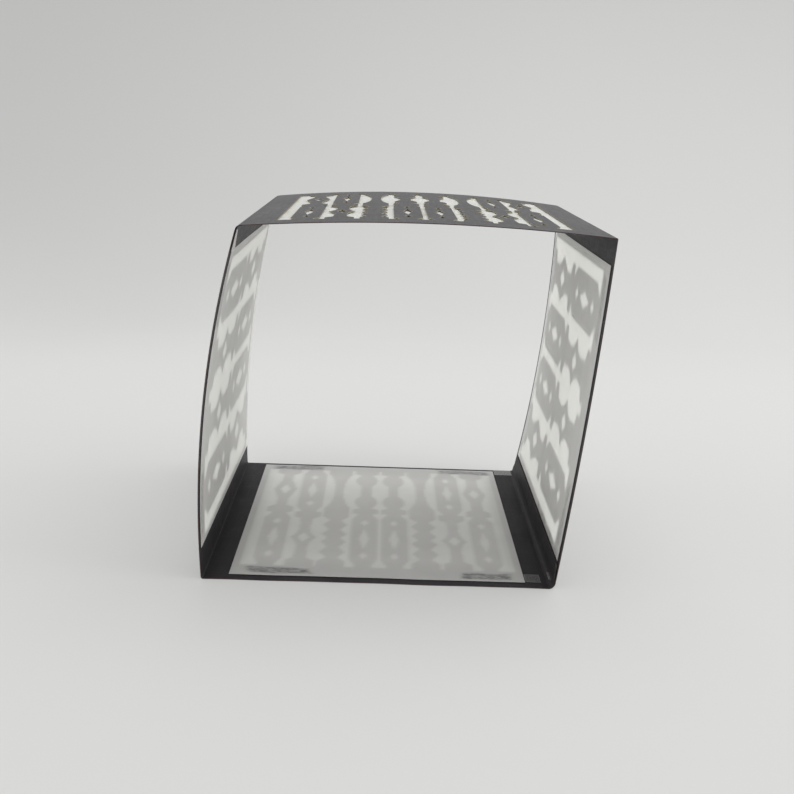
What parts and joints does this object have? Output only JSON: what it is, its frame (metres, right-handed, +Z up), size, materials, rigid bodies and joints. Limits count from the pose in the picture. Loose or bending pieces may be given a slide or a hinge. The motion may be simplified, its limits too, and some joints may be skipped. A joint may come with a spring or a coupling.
{
  "type": "folded card luminary sleeve",
  "caption": "Square band of black card with die-cut ornament windows backed by translucent vellum, folding flat at its four creases.",
  "frame": {"origin": "centre of the underside of the bounding box, on the surface that the sleeve lies on", "axes": "+Z up, +Y from the front open end to the rear open end, +X to the right, the way the sleeve leans"},
  "size_m": [0.162, 0.1574, 0.15],
  "materials": {
    "card": "matt black cardstock, faintly fibrous, warmer at its cut edges",
    "vellum": "frosted translucent vellum paper",
    "adhesive": "streaky double-sided tape, seen through the vellum",
    "clear_tape": "clear tape with a soft shine over black card"
  },
  "bodies": {
    "base": {"base_panel": "card", "base_vellum": "vellum", "base_tape_front_left": "adhesive", "base_tape_front_right": "adhesive", "base_tape_rear_left": "adhesive", "base_tape_rear_right": "adhesive", "base_edge_tape_front": "clear_tape", "base_edge_tape_rear": "clear_tape"},
    "left_wall": {"left_wall_panel": "card", "left_wall_vellum": "vellum", "left_wall_tape_front_low": "adhesive", "left_wall_tape_front_high": "adhesive", "left_wall_tape_rear_low": "adhesive", "left_wall_tape_rear_high": "adhesive", "upper_glue_tab": "card", "upper_tab_tape": "clear_tape"},
    "top": {"top_panel": "card", "top_vellum": "vellum", "top_tape_front_left": "adhesive", "top_tape_front_right": "adhesive", "top_tape_rear_left": "adhesive", "top_tape_rear_right": "adhesive"},
    "right_wall": {"right_wall_panel": "card", "right_wall_vellum": "vellum", "right_wall_tape_front_low": "adhesive", "right_wall_tape_front_high": "adhesive", "right_wall_tape_rear_low": "adhesive", "right_wall_tape_rear_high": "adhesive", "lower_glue_tab": "card", "lower_tab_tape": "clear_tape"}
  },
  "joints": [
    {"name": "left_fold", "type": "hinge", "parent": "base", "child": "left_wall", "pos_m": [-0.07966, 0, 0.00035], "axis": [0, 1, 0], "range_deg": [-84, 76], "stiffness_Nm_per_rad": 0.031, "springref_deg": -3.2},
    {"name": "right_fold", "type": "hinge", "parent": "base", "child": "right_wall", "pos_m": [0.06634, 0, 0.00035], "axis": [0, 1, 0], "range_deg": [-84.5, 76.5]},
    {"name": "upper_left_fold", "type": "hinge", "parent": "left_wall", "child": "top", "pos_m": [-0.0653, 0, 0.14544], "axis": [0, 1, 0], "range_deg": [-76.5, 84.5]}
  ],
  "couplings": [
    {"joint": "right_fold", "follows": "left_fold", "ratio": 1},
    {"joint": "upper_left_fold", "follows": "left_fold", "ratio": -1}
  ]
}
